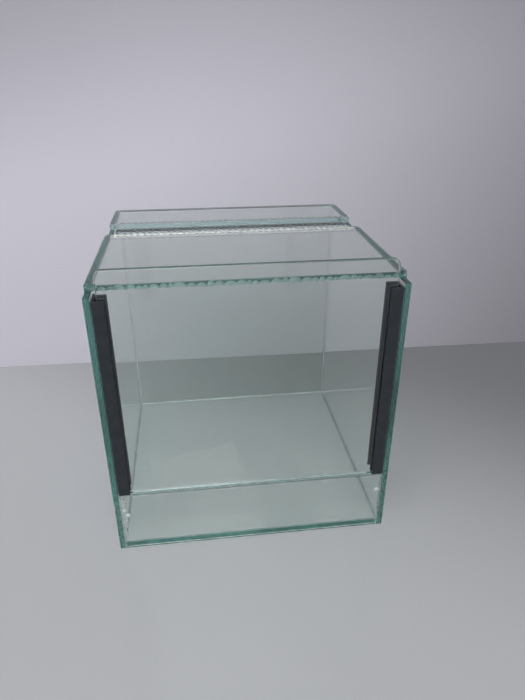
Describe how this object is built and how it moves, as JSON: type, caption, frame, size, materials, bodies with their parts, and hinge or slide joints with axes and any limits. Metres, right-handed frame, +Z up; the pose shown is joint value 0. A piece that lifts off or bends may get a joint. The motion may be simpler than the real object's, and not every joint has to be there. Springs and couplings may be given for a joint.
{
  "type": "reptile terrarium",
  "caption": "Small glass terrarium cube with a glass door that lifts in black side channels and a perforated vent strip in the top.",
  "frame": {"origin": "centre of the rectangle that the tank stands on, at the table", "axes": "+Z up, -Y out of the door side, +X to the right seen from the door side"},
  "size_m": [0.2, 0.2, 0.215],
  "materials": {
    "float_glass": "clear float glass with green ground edges",
    "door_glass": "clear float glass with green ground edges and rounded upper corners",
    "perforated_steel": "bright perforated sheet",
    "channel_plastic": "black extruded PVC with a slight sheen",
    "clear_silicone": "clear cured silicone"
  },
  "bodies": {
    "tank": {"left_side_panel": "float_glass", "right_side_panel": "float_glass", "back_panel": "float_glass", "floor_panel": "float_glass", "front_strip": "float_glass", "top_panel": "float_glass", "rear_top_strip": "float_glass", "vent_grille": "perforated_steel", "left_door_channel": "channel_plastic", "right_door_channel": "channel_plastic", "floor_seam_left": "clear_silicone", "floor_seam_right": "clear_silicone", "floor_seam_back": "clear_silicone", "floor_seam_front": "clear_silicone", "corner_seam_left": "clear_silicone", "corner_seam_right": "clear_silicone", "strip_seam_left": "clear_silicone", "strip_seam_right": "clear_silicone", "top_seam_left": "clear_silicone", "top_seam_right": "clear_silicone", "rear_top_seam_left": "clear_silicone", "rear_top_seam_right": "clear_silicone", "rear_top_seam_back": "clear_silicone", "grille_seam_front": "clear_silicone", "grille_seam_rear": "clear_silicone", "channel_seam_left": "clear_silicone", "channel_seam_right": "clear_silicone"},
    "door": {"lifting_door": "door_glass"}
  },
  "joints": [
    {"name": "door_lift", "type": "slide", "parent": "tank", "child": "door", "axis": [0, 0, 1], "range_m": [0, 0.155]}
  ]
}
